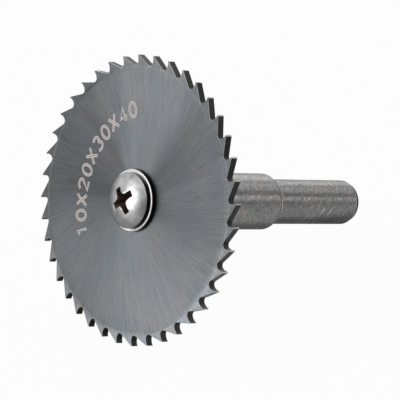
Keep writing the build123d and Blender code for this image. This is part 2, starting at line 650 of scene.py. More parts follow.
def on_circle(radius: float, angle: float) -> Vector:
    """Point of the blade's plane at this radius and angle about the spindle."""
    return Vector((radius * cos(angle), radius * sin(angle)))


def ring(radius: float, height: float, angles: Iterable[float]) -> list[Triple]:
    """Points at these angles round the spindle."""
    return [(*on_circle(radius, angle), height) for angle in angles]


def fractions(start: float, end: float, steps: int) -> list[float]:
    """Numbers from start to end in equal steps, both among them."""
    return [start + (end - start) * step / steps for step in range(steps + 1)]


def arc(centre: Vector, start: Vector, end: Vector, steps: int) -> list[Vector]:
    """Points of the short arc about a centre, from start to end, both among them.

    Args:
        centre: The arc's centre.
        start: The first point.
        end: The last point.
        steps: The number of straight runs.

    Returns:
        The points.
    """
    first, last = start - centre, end - centre
    swing = atan2(first.x * last.y - first.y * last.x, first.dot(last))
    return [centre + Matrix.Rotation(turn, 2) @ first for turn in fractions(0.0, swing, steps)]


def rounded(corners: Sequence[Triple], steps: int = 5) -> Section:
    """Half-section with its corners rounded.

    Args:
        corners: Radius, height and rounding of each corner.
        steps: Straight runs in each rounding.

    Returns:
        The section's points as radius and height.
    """
    points: Section = []
    for index, (*spot, rounding) in enumerate(corners):
        if not rounding:
            points.append(tuple(spot))
            continue
        corner = Vector(spot)
        before = (Vector(corners[index - 1][:2]) - corner).normalized()
        after = (Vector(corners[index + 1][:2]) - corner).normalized()
        half = acos(max(-1.0, min(1.0, before.dot(after)))) / 2
        reach = rounding / tan(half)
        centre = corner + (before + after).normalized() * (rounding / sin(half))
        points += [tuple(p) for p in arc(centre, corner + before * reach, corner + after * reach, steps)]
    return points


def linked(name: str, data: bpy.types.ID) -> Object:
    """Makes an object of this name and data, and links it to the scene.

    Args:
        name: The object's name.
        data: Its mesh, curve, lamp or camera.

    Returns:
        The object.
    """
    made = bpy.data.objects.new(name, data)
    bpy.context.scene.collection.objects.link(made)
    return made


class Piece:
    """A mesh in the making, in millimetres on the spindle, with a zone for each face."""

    def __init__(self, name: str) -> None:
        """Starts an empty mesh.

        Args:
            name: The piece's name.
        """
        self.name = name
        self.mesh = bmesh.new()
        self.zone = self.mesh.faces.layers.int.new(ZONE)

    def face(self, corners: Iterable[bmesh.types.BMVert], zone: Zone) -> None:
        """Adds one face of a zone, unless its corners run together.

        Args:
            corners: The face's corners in order.
            zone: Its zone.
        """
        unique = list(dict.fromkeys(corners))
        if len(unique) > 2:
            self.mesh.faces.new(unique)[self.zone] = zone

    def row(self, points: Iterable[Sequence[float]]) -> Row:
        """Adds a row of points and gives back its vertices."""
        return [self.mesh.verts.new(point) for point in points]

    def strip(self, first: Row, second: Row, zones: Zone | Sequence[Zone], closed: bool = False) -> None:
        """Joins two rows of as many vertices by a strip of faces.

        Args:
            first: The first row.
            second: The second row.
            zones: One zone for all faces, or one for each.
            closed: Whether the strip runs round and meets its start.
        """
        for i in range(len(first) if closed else len(first) - 1):
            j = (i + 1) % len(first)
            zone = zones if isinstance(zones, Zone) else zones[i]
            self.face([first[i], first[j], second[j], second[i]], zone)

    def strips(self, rows: list[Row], zones: Zone | Sequence[Zone], closed: bool = False) -> None:
        """Joins each row to the next by a strip of one zone."""
        for index, (first, second) in enumerate(zip(rows, rows[1:])):
            self.strip(first, second, zones if isinstance(zones, Zone) else zones[index], closed)

    def turn_section(self, section: Section, zone: Callable[[Pair, Pair], Zone], segments: int) -> list[Row]:
        """Sweeps a section round the spindle.

        Args:
            section: Radius and height of each point.
            zone: Tells the zone of the run between two points.
            segments: Faces in each ring.

        Returns:
            The rings of vertices.
        """
        angles = fractions(0.0, 2 * pi, segments)[:-1]
        rings = []
        for radius, height in section:
            if radius < TINY:
                rings.append(self.row([(0.0, 0.0, height)]) * segments)
            else:
                rings.append(self.row(ring(radius, height, angles)))
        self.strips(rings, [zone(first, second) for first, second in zip(section, section[1:])], closed=True)
        return rings

    def fill(
        self, loops: list[Row], inside: list[Vector], zone: Zone, height: Callable[[float, float], float]
    ) -> None:
        """Fills the flat region within the first loop and outside the others with small triangles.

        Args:
            loops: Loops of vertices, the outer one first.
            inside: Points within the region that the triangles also use.
            zone: The zone of the faces.
            height: Height of the surface over a point.
        """
        corners = [corner for loop in loops for corner in loop]
        numbers = iter(range(len(corners)))
        outlines = [[next(numbers) for _ in loop] for loop in loops]
        flat = [corner.co.xy for corner in corners] + inside
        points, _, faces, origins, _, within = delaunay_2d_cdt(flat, [], outlines, 1, TINY)
        known = []
        for point, found in zip(points, origins):
            first = min(found, default=len(corners))
            on_loop = first < len(corners)
            known.append(corners[first] if on_loop else self.mesh.verts.new((*point, height(*point))))
        for face, outlines_round_it in zip(faces, within):
            if list(outlines_round_it) == [0]:
                self.face([known[index] for index in face], zone)

    def finish(self) -> Object:
        """Merges the mesh's doubles and makes it an object, still on the spindle.

        Returns:
            The object.
        """
        bmesh.ops.remove_doubles(self.mesh, verts=self.mesh.verts, dist=MERGE_DISTANCE)
        loose = [vertex for vertex in self.mesh.verts if not vertex.link_faces]
        bmesh.ops.delete(self.mesh, geom=loose, context="VERTS")
        data = bpy.data.meshes.new(self.name)
        self.mesh.to_mesh(data)
        self.mesh.free()
        return linked(self.name, data)


class Recipe(Graph):
    """A Geometry Nodes tree with named inputs, which runs once on an object."""

    def __init__(self, name: str, sizes: dict[str, float | int]) -> None:
        """Starts the tree.

        Args:
            name: The tree's name.
            sizes: Its inputs by name, whole numbers as integers.
        """
        super().__init__(bpy.data.node_groups.new(name, "GeometryNodeTree"))
        self.sizes = sizes
        self.identifiers = {}
        socket = self.tree.interface.new_socket
        socket("Geometry", in_out="INPUT", socket_type="NodeSocketGeometry")
        for key, value in sizes.items():
            kind = "NodeSocketInt" if isinstance(value, int) else "NodeSocketFloat"
            self.identifiers[key] = socket(key, in_out="INPUT", socket_type=kind).identifier
        socket("Geometry", in_out="OUTPUT", socket_type="NodeSocketGeometry")
        self.given = self.add("NodeGroupInput").outputs
        self.result = self.add("NodeGroupOutput").inputs[0]

    def real(self, geometry: Socket) -> Socket:
        """Geometry with its instances made real."""
        return self.out("GeometryNodeRealizeInstances", {"Geometry": geometry})

    def sweep(self, curve: Socket, profile: Socket) -> Socket:
        """Real mesh that a profile sweeps along a curve, upright and with closed ends.

        Args:
            curve: The path.
            profile: The profile.

        Returns:
            The mesh.
        """
        upright = self.out("GeometryNodeSetCurveNormal", {"Curve": curve}, mode="Z_UP")
        inputs = {"Curve": upright, "Profile Curve": profile, "Fill Caps": True}
        return self.real(self.out("GeometryNodeCurveToMesh", inputs))

    def end(self, geometry: Socket, finishes: Finishes | Material) -> None:
        """Ends the tree in geometry that has its materials.

        Args:
            geometry: The finished geometry.
            finishes: The material, or one for each zone.
        """
        everywhere = isinstance(finishes, Material)
        zone = self.out("GeometryNodeInputNamedAttribute", {"Name": ZONE}, data_type="INT")
        for key, material in ({Zone.FACE: finishes} if everywhere else finishes).items():
            inputs = {"Geometry": geometry, "Material": material}
            if not everywhere:
                pair = {2: zone, 3: int(key)}
                same = self.out("FunctionNodeCompare", pair, data_type="INT", operation="EQUAL")
                inputs["Selection"] = same
            geometry = self.out("GeometryNodeSetMaterial", inputs)
        self.put(self.result, geometry)

    def run(self, start: Object) -> Object:
        """Runs the tree on an object and replaces the object's mesh by the plain result.

        Args:
            start: The object that holds the tree's start geometry.

        Returns:
            A mesh object of the same name.
        """
        modifier = start.modifiers.new(self.tree.name, "NODES")
        modifier.node_group = self.tree
        for key, value in self.sizes.items():
            modifier[self.identifiers[key]] = value
        evaluated = start.evaluated_get(bpy.context.evaluated_depsgraph_get())
        mesh = bpy.data.meshes.new_from_object(evaluated)
        name = start.name
        bpy.data.objects.remove(start)
        mesh.name = name
        return linked(name, mesh)


def lay_down(
    built: Object, spindle: Spindle, slot: Slot, node: str | None = None, sharp: float = 35.0
) -> None:
    """Args:
        built: The piece, in millimetres on the spindle.
        spindle: Where the tool lies.
        slot: The record's slot for the piece. It is not used.
        node: The node that the piece stands for, if any.
        sharp: Angle in degrees from which an edge is drawn sharp.
    """
    mesh = built.data
    solid = bmesh.new()
    solid.from_mesh(mesh)
    bmesh.ops.recalc_face_normals(solid, faces=solid.faces)
    solid.to_mesh(mesh)
    solid.free()
    mesh.transform(spindle.to_row())
    mesh.polygons.foreach_set("use_smooth", [True] * len(mesh.polygons))
    mesh.set_sharp_from_angle(angle=radians(sharp))
    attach(built, BODY)
    if node:
        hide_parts(node)
    log.info("%s: %d faces", built.name, len(mesh.polygons))


def dress_by_zone(built: Object, finishes: Finishes) -> None:
    """Gives each face the material of its zone.

    Args:
        built: The piece.
        finishes: The material of each zone.
    """
    order = list(finishes)
    for zone in order:
        built.data.materials.append(finishes[zone])
    zones = [item.value for item in built.data.attributes[ZONE].data]
    built.data.polygons.foreach_set("material_index", [order.index(Zone(zone)) for zone in zones])


@dataclass
class SawBlade:
    """Toothed disc with a plain bore, its toothed rim ground a little thinner than the rest."""

    diameter: float = 50.0
    thickness: float = 1.5
    bore: float = 8.0
    teeth: int = 40
    tooth_depth: float = 1.84
    rake_angle: float = 27.0
    rake_face_radius: float = 1.83
    gullet_radius: float = 0.64
    land_width: float = 0.26
    land_relief: float = 8.0
    side_slope_diameter: float = 45.2
    side_slope_width: float = 0.49
    side_slope_depth: float = 0.05
    edge_wear: float = 0.055
    arc_steps: int = 10
    back_steps: int = 6
    ring_steps: int = 6
    plain_rings: tuple[float, ...] = (9.0, 14.0, 18.0)
    bend_margin: float = 0.08
    merge_distance: float = 0.002

    @property
    def radius(self) -> float:
        """Radius of the circle of the tooth tips."""
        return self.diameter / 2

    @property
    def pitch(self) -> float:
        """Angle from one tooth to the next."""
        return 2 * pi / self.teeth

    def gullet_centre(self, face_centre: Vector) -> Vector:
        """Centre of the gullet's arc, which touches the rake face's arc and the root circle.

        Args:
            face_centre: Centre of the rake face's arc.

        Returns:
            The gullet's centre.
        """
        orbit = self.radius - self.tooth_depth + self.gullet_radius
        offset = self.rake_face_radius - self.gullet_radius
        reach = face_centre.length
        along = (orbit**2 - offset**2 + reach**2) / (2 * reach)
        across = sqrt(orbit**2 - along**2)
        outward = face_centre.normalized()
        return outward * along + Vector((outward.y, -outward.x)) * across

    def pitch_outline(self) -> tuple[list[Vector], list[Zone]]:
        """One pitch of the outline, from gullet bottom to gullet bottom with a tooth between.

        Returns:
            The points, and the zone of the run that starts at each but the last.
        """
        tip_angle = -pi / 2 + self.pitch / 2
        tip = on_circle(self.radius, tip_angle)
        face_centre = tip + on_circle(self.rake_face_radius, tip_angle + pi / 2 + radians(self.rake_angle))
        ahead = self.gullet_centre(face_centre)
        face_foot = face_centre + (ahead - face_centre).normalized() * self.rake_face_radius
        back_a_pitch = Matrix.Rotation(-self.pitch, 2)
        behind = back_a_pitch @ ahead
        land_end = tip + on_circle(self.land_width, tip_angle - pi / 2 - radians(self.land_relief))
        spoke = land_end - behind
        swing = atan2(sqrt(spoke.length**2 - self.gullet_radius**2), self.gullet_radius)
        foot = behind + on_circle(self.gullet_radius, atan2(spoke.y, spoke.x) + swing)
        bottom = ahead - ahead.normalized() * self.gullet_radius
        points = arc(behind, back_a_pitch @ bottom, foot, self.arc_steps)
        points += [foot.lerp(land_end, share) for share in fractions(0.0, 1.0, self.back_steps)[1:]]
        points.append(tip)
        points += arc(face_centre, tip, face_foot, self.arc_steps)[1:]
        points += arc(ahead, face_foot, bottom, self.arc_steps)[1:]
        runs = [Zone.FLANK] * (len(points) - 1)
        runs[self.arc_steps + self.back_steps] = Zone.LAND
        return points, runs

    def inset(self, points: list[Vector]) -> list[Vector]:
        """Outline moved into the steel by the width of the worn edge.

        Args:
            points: One pitch of the outline.

        Returns:
            The moved points.
        """
        turn = Matrix.Rotation(self.pitch, 2)
        padded = [turn.inverted() @ points[-2], *points, turn @ points[1]]
        moved = []
        for before, here, after in zip(padded, padded[1:], padded[2:]):
            into = [Vector((-run.y, run.x)).normalized() for run in (here - before, after - here)]
            moved.append(here + (into[0] + into[1]) * (self.edge_wear / (1 + into[0].dot(into[1]))))
        return moved

    def side_drop(self, radius: float) -> float:
        """How far the ground side lies inside the full thickness at this radius."""
        share = (radius - self.side_slope_diameter / 2) / self.side_slope_width
        return max(0.0, min(1.0, share)) * self.side_slope_depth

    def side(self, piece: Piece, inner: list[Vector], facing: int) -> tuple[Row, Row]:
        """One side of a pitch: plain rings from the bore, and the toothed rim in small triangles.

        Args:
            piece: The mesh in the making.
            inner: The inset outline.
            facing: 1 for the front and -1 for the back.

        Returns:
            The vertices of the inset outline, and those round the bore.
        """

        def height(x: float, y: float) -> float:
            """Height of this side over a point of the blade's plane."""
            drop = self.side_drop(hypot(x, y))
            return -drop if facing > 0 else drop - self.thickness

        start = atan2(inner[0].y, inner[0].x)
        angles = fractions(start, start + self.pitch, self.ring_steps)
        slope, margin = self.side_slope_diameter / 2, self.bend_margin
        slope_end = slope + self.side_slope_width
        bends = (slope - margin, slope, slope + margin, slope_end - margin, slope_end)
        radii = (self.bore / 2, *self.plain_rings, *bends)
        rings = [piece.row(ring(radius, height(radius, 0.0), angles)) for radius in radii]
        piece.strips(rings, Zone.FACE)
        rim = piece.row((*p, height(*p)) for p in inner)
        piece.fill([rim + rings[-1][::-1]], [], Zone.FACE, height)
        return rim, rings[0]

    def sector(self) -> Object:
        """One pitch of the blade, from the bore to the tooth.

        Returns:
            The object of that one pitch.
        """
        piece = Piece("saw_blade_disc")
        outline, runs = self.pitch_outline()
        inner = self.inset(outline)
        front_rim, front_bore = self.side(piece, inner, 1)
        back_rim, back_bore = self.side(piece, inner, -1)
        depths = [self.side_drop(p.length) + self.edge_wear for p in outline]
        front_edge = piece.row((*p, -depth) for p, depth in zip(outline, depths))
        back_edge = piece.row((*p, depth - self.thickness) for p, depth in zip(outline, depths))
        piece.strip(front_rim, front_edge, Zone.EDGE)
        piece.strip(back_edge, back_rim, Zone.EDGE)
        piece.strip(back_bore, front_bore, Zone.FLANK)
        piece.strip(front_edge, back_edge, runs)
        return piece.finish()

    def repeat(self, finishes: Finishes) -> Object:
        """Repeats the pitch round the spindle and gives each zone its finish.

        Args:
            finishes: The material of each zone.

        Returns:
            The whole blade.
        """
        sizes = {"Count": self.teeth, "Merge Distance": self.merge_distance}
        recipe = Recipe("repeat_round_spindle", sizes)
        given = recipe.given
        spots = recipe.out("GeometryNodePoints", {"Count": given["Count"]})
        index = recipe.out("GeometryNodeInputIndex")
        angle = recipe.math("MULTIPLY", index, recipe.math("DIVIDE", 2 * pi, given["Count"]))
        turn = recipe.out("ShaderNodeCombineXYZ", {2: angle})
        inputs = {"Points": spots, "Instance": given["Geometry"], "Rotation": turn}
        real = recipe.real(recipe.out("GeometryNodeInstanceOnPoints", inputs))
        inputs = {"Geometry": real, "Distance": given["Merge Distance"]}
        recipe.end(recipe.out("GeometryNodeMergeByDistance", inputs), finishes)
        return recipe.run(self.sector())

    def build(self, spindle: Spindle) -> None:
        """Builds and dresses the blade.

        Args:
            spindle: Where the tool lies.
        """
        finishes = {
            Zone.FACE: GroundSteel().material(spindle),
            Zone.FLANK: OxideSteel().material(spindle),
            Zone.EDGE: WearAndHighlightSteel(colour=(0.68, 0.68, 0.68), roughness=0.5).material(spindle),
            Zone.LAND: WearAndHighlightSteel().material(spindle),
        }
        lay_down(self.repeat(finishes), spindle, Slot.BLADE, "saw_blade", sharp=20.0)


def oval(centre: Pair, size: Pair, start: float, end: float, steps: int = 14) -> Section:
    """Points along part of an oval, from one angle to another in degrees."""
    angles = fractions(radians(start), radians(end), steps)
    return [(centre[0] + size[0] * cos(a), centre[1] + size[1] * sin(a)) for a in angles]


@dataclass
class SizeMark:
    """Row of plain numbers with crosses between, along an arc on the blade's front face."""

    characters: str = "10x20x30x40"
    height: float = 2.6
    width: float = 1.2
    stroke: float = 0.52
    edge: float = 0.06
    lift: float = 0.012
    stroke_step: float = 0.004
    arc_radius: float = 18.2
    arc_centre: Pair = (4.74, -0.12)
    start_angle: float = 214.0
    end_angle: float = 129.0
    box_middle: Pair = (0.31, 0.5)
    strokes: dict[str, list[Section]] = field(
        default_factory=lambda: {
            "0": [oval((0.31, 0.5), (0.27, 0.48), 90, 450)],
            "1": [[(0.12, 0.76), (0.34, 0.98), (0.34, 0.02)]],
            "2": [oval((0.31, 0.71), (0.26, 0.27), 170, -25) + [(0.05, 0.04), (0.58, 0.04)]],
            "3": [oval((0.3, 0.74), (0.23, 0.24), 150, -80), oval((0.3, 0.27), (0.26, 0.25), 80, -150)],
            "4": [[(0.42, 0.02), (0.42, 0.98), (0.04, 0.32), (0.3, 0.32)], [(0.4, 0.32), (0.6, 0.32)]],
            "x": [[(0.02, 0.02), (0.6, 0.98)], [(0.02, 0.98), (0.6, 0.02)]],
        }
    )

    def curves(self) -> Object:
        """All strokes as curves, each laid on the arc with its top outwards.

        Returns:
            The curve object.
        """
        data = bpy.data.curves.new("size_mark", "CURVE")
        data.dimensions = "3D"
        angles = fractions(radians(self.start_angle), radians(self.end_angle), len(self.characters) - 1)
        for character, angle in zip(self.characters, angles):
            middle = Vector(self.arc_centre) + on_circle(self.arc_radius, angle)
            right, up = on_circle(1.0, angle - pi / 2), on_circle(1.0, angle)
            for level, stroke in enumerate(self.strokes[character]):
                spline = data.splines.new("POLY")
                closed = (Vector(stroke[0]) - Vector(stroke[-1])).length < TINY
                spline.use_cyclic_u = closed
                spline.points.add(len(stroke) - closed - 1)
                for point, spot in zip(spline.points, stroke):
                    x, y = Vector(spot) - Vector(self.box_middle)
                    place = middle + (right * (x * self.width) + up * y) * self.height
                    point.co = (*place, self.stroke_step * level, 1.0)
        return linked("size_mark", data)

    def build(self, spindle: Spindle) -> None:
        """Gives each stroke its width and lays the row on the blade.

        Args:
            spindle: Where the tool lies.
        """
        recipe = Recipe("strokes_on_face", {"Width": self.stroke, "Lift": self.lift, "Edge": self.edge})
        given = recipe.given
        width, edges = given["Width"], recipe.math("MULTIPLY", given["Edge"], 2.0)
        profile = recipe.add("GeometryNodeCurvePrimitiveQuadrilateral", mode="TRAPEZOID")
        sizes = {
            "Height": recipe.math("MULTIPLY", given["Lift"], 2.0),
            "Bottom Width": width,
            "Top Width": recipe.math("SUBTRACT", width, edges),
            "Offset": 0.0,
        }
        for key, value in sizes.items():
            recipe.put(next(s for s in profile.inputs if s.name == key and s.enabled), value)
        sideways = recipe.out("ShaderNodeSeparateXYZ", {0: recipe.out("GeometryNodeInputPosition")})
        across = recipe.math("DIVIDE", sideways, recipe.math("MULTIPLY", width, 0.5))
        inputs = {"Geometry": profile.outputs[0], "Name": "across", "Value": across}
        marked = recipe.out("GeometryNodeStoreNamedAttribute", inputs, data_type="FLOAT", domain="POINT")
        recipe.end(recipe.sweep(given["Geometry"], marked), EtchedMark().material(spindle))
        lay_down(recipe.run(self.curves()), spindle, Slot.BLADE)


@dataclass
class Arbor:
    """Stepped bar: spigot, collar and shank, with a tapped hole in the spigot's end."""

    collar_radius: float = 5.0
    collar_front: float = -1.5
    collar_back: float = -31.5
    collar_bevel: Pair = (0.7, 1.2)
    front_chamfer: float = 0.2
    shank_radius: float = 4.0
    shank_end: float = -51.7
    shank_bevel: Pair = (0.55, 1.2)
    spigot_radius: float = 3.98
    spigot_front: float = -0.3
    spigot_chamfer: float = 0.25
    hole_radius: float = 2.55
    hole_mouth: float = 0.4
    hole_floor: float = -14.2
    drill_point_angle: float = 118.0
    dark_rim: float = 0.98
    bright_rim: float = 0.25
    wear_and_highlight_rim: float = 0.4
    shank_rounding: Pair = (0.12, 0.9)
    collar_rounding: Triple = (0.08, 1.0, 0.06)
    zone_slack: float = 0.01
    segments: int = 160

    @property
    def shank_middle(self) -> float:
        """Height of the middle of the shank's straight part."""
        return (self.collar_back + self.shank_end + self.shank_bevel[1]) / 2

    @staticmethod
    def on_bevel(radius: float, height: float, bevel: Pair, rise: float) -> Triple:
        """Sharp point on a bevel, this far above the bevel's foot."""
        depth, length = bevel
        return radius - depth * (1 - rise / length), height + rise, 0.0

    def zone(self, first: Pair, second: Pair) -> Zone:
        """Zone of the run between two points of the section.

        Args:
            first: Radius and height of the run's start.
            second: Radius and height of its end.

        Returns:
            SIDE on the shank's dark rim, EDGE on the bright and the worn rim, which are partly painted
            highlight, and FACE elsewhere.
        """
        slack = self.zone_slack
        above_shank_end = max(first[1], second[1]) - self.shank_end
        above_collar_back = max(first[1], second[1]) - self.collar_back
        if 0.0 < above_shank_end < self.dark_rim + slack:
            return Zone.SIDE
        at_shank_rim = 0.0 < above_shank_end < self.dark_rim + self.bright_rim + slack
        at_collar_rim = first[0] > self.shank_radius + slack and above_collar_back < self.wear_and_highlight_rim + slack
        return Zone.EDGE if at_shank_rim or at_collar_rim else Zone.FACE

    def section(self) -> Section:
        """Half-section of the bar, with its corners a little rounded.

        Returns:
            Radius and height of each point.
        """
        step_radius = self.collar_radius - self.collar_bevel[0]
        drill_point = self.hole_radius / tan(radians(self.drill_point_angle / 2))
        end_rounding, shank_rounding = self.shank_rounding
        back_rounding, collar_rounding, front_rounding = self.collar_rounding
        corners = [
            (0.0, self.shank_end, 0.0),
            (self.shank_radius - self.shank_bevel[0], self.shank_end, end_rounding),
            self.on_bevel(self.shank_radius, self.shank_end, self.shank_bevel, self.dark_rim),
            (self.shank_radius, self.shank_end + self.shank_bevel[1], shank_rounding),
            (self.shank_radius, self.collar_back, 0.0),
            (step_radius, self.collar_back, back_rounding),
            self.on_bevel(self.collar_radius, self.collar_back, self.collar_bevel, self.wear_and_highlight_rim),
            (self.collar_radius, self.collar_back + self.collar_bevel[1], collar_rounding),
            (self.collar_radius, self.collar_front - self.front_chamfer, front_rounding),
            (self.collar_radius - self.front_chamfer, self.collar_front, 0.0),
            (self.spigot_radius, self.collar_front, 0.0),
            (self.spigot_radius, self.spigot_front - self.spigot_chamfer, 0.0),
            (self.spigot_radius - self.spigot_chamfer, self.spigot_front, 0.0),
            (self.hole_radius + self.hole_mouth, self.spigot_front, 0.0),
            (self.hole_radius, self.spigot_front - self.hole_mouth, 0.0),
            (self.hole_radius, self.hole_floor, 0.0),
            (0.0, self.hole_floor - drill_point, 0.0),
        ]
        return rounded(corners)

    def build(self, spindle: Spindle) -> None:
        """Builds and dresses the arbor.

        Args:
            spindle: Where the tool lies.
        """
        piece = Piece("arbor_bar")
        piece.turn_section(self.section(), self.zone, self.segments)
        built = piece.finish()
        finishes = {
            Zone.FACE: TurnedSteel(shank_front=self.collar_back).material(spindle),
            # Pale, less metallic steel on the shank's bright rim and the collar's rim: wear and painted
            # highlight.
            Zone.EDGE: WearAndHighlightSteel(colour=(0.7, 0.7, 0.7), roughness=0.5, metallic=0.7).material(spindle),
            Zone.SIDE: OxideSteel(colour=(0.04, 0.04, 0.04)).material(spindle),
        }
        dress_by_zone(built, finishes)
        lay_down(built, spindle, Slot.ARBOR, "arbor", sharp=30.0)


@dataclass
class Washer:
    """Flat washer between the blade and the screw's head, with one small nick in its rim."""

    outer_radius: float = 5.4
    inner_radius: float = 2.65
    thickness: float = 0.8
    edge_radius: float = 0.22
    seat_rounding: float = 0.04
    bore_rounding: float = 0.05
    nick_angle: float = 26.0
    nick_reach: float = 0.28
    nick_depth: float = 0.09
    wall_slack: float = 0.03
    wall_margin: float = 0.04
    face_slack: float = 0.005
    segments: int = 256

    def section(self) -> Section:
        """Half-section of the washer, closed on itself.

        Returns:
            Radius and height of each point.
        """
        corners = [
            (self.inner_radius, 0.0, 0.0),
            (self.outer_radius, 0.0, self.seat_rounding),
            (self.outer_radius, self.thickness, self.edge_radius),
            (self.inner_radius, self.thickness, self.bore_rounding),
            (self.inner_radius, 0.0, 0.0),
        ]
        return rounded(corners, steps=6)

    def zone(self, first: Pair, second: Pair) -> Zone:
        """Zone of the run between two points of the section.

        Args:
            first: Radius and height of the run's start.
            second: Radius and height of its end.

        Returns:
            SIDE on the outer wall, LAND on the flat front face, and FACE elsewhere.
        """
        on_wall = min(first[0], second[0]) > self.outer_radius - self.wall_slack
        if on_wall and second[1] < self.thickness - self.wall_margin:
            return Zone.SIDE
        on_face = min(first[1], second[1]) > self.thickness - self.face_slack
        return Zone.LAND if on_face else Zone.FACE

    def nick(self, built: Object) -> None:
        """Presses the nick into the rim.

        Args:
            built: The washer, still on the spindle.
        """
        spot = Vector((*on_circle(self.outer_radius, radians(self.nick_angle)), self.thickness))
        for vertex in built.data.vertices:
            near = 1.0 - (vertex.co - spot).length / self.nick_reach
            if near > 0:
                inward = Vector((-vertex.co.x, -vertex.co.y, 0.0)).normalized()
                vertex.co += inward * (self.nick_depth * near)

    def build(self, spindle: Spindle) -> None:
        """Builds and dresses the washer.

        Args:
            spindle: Where the tool lies.
        """
        piece = Piece("flat_washer")
        piece.turn_section(self.section(), self.zone, self.segments)
        built = piece.finish()
        self.nick(built)
        bright = {"colour": (0.85, 0.85, 0.845), "unevenness": 0.01}
        finishes = {
            Zone.FACE: SatinNickel(**bright).material(spindle),
            # The flat face has painted shade on its +X side, next to the screw's head.
            Zone.LAND: SatinNickel(**bright, painted_shade_share=0.22).material(spindle),
            # Painted shade: the washer's outer wall is drawn nearly black.
            Zone.SIDE: PaintedShadeSteel().material(spindle),
        }
        dress_by_zone(built, finishes)
        lay_down(built, spindle, Slot.PLATED, "washer", sharp=40.0)


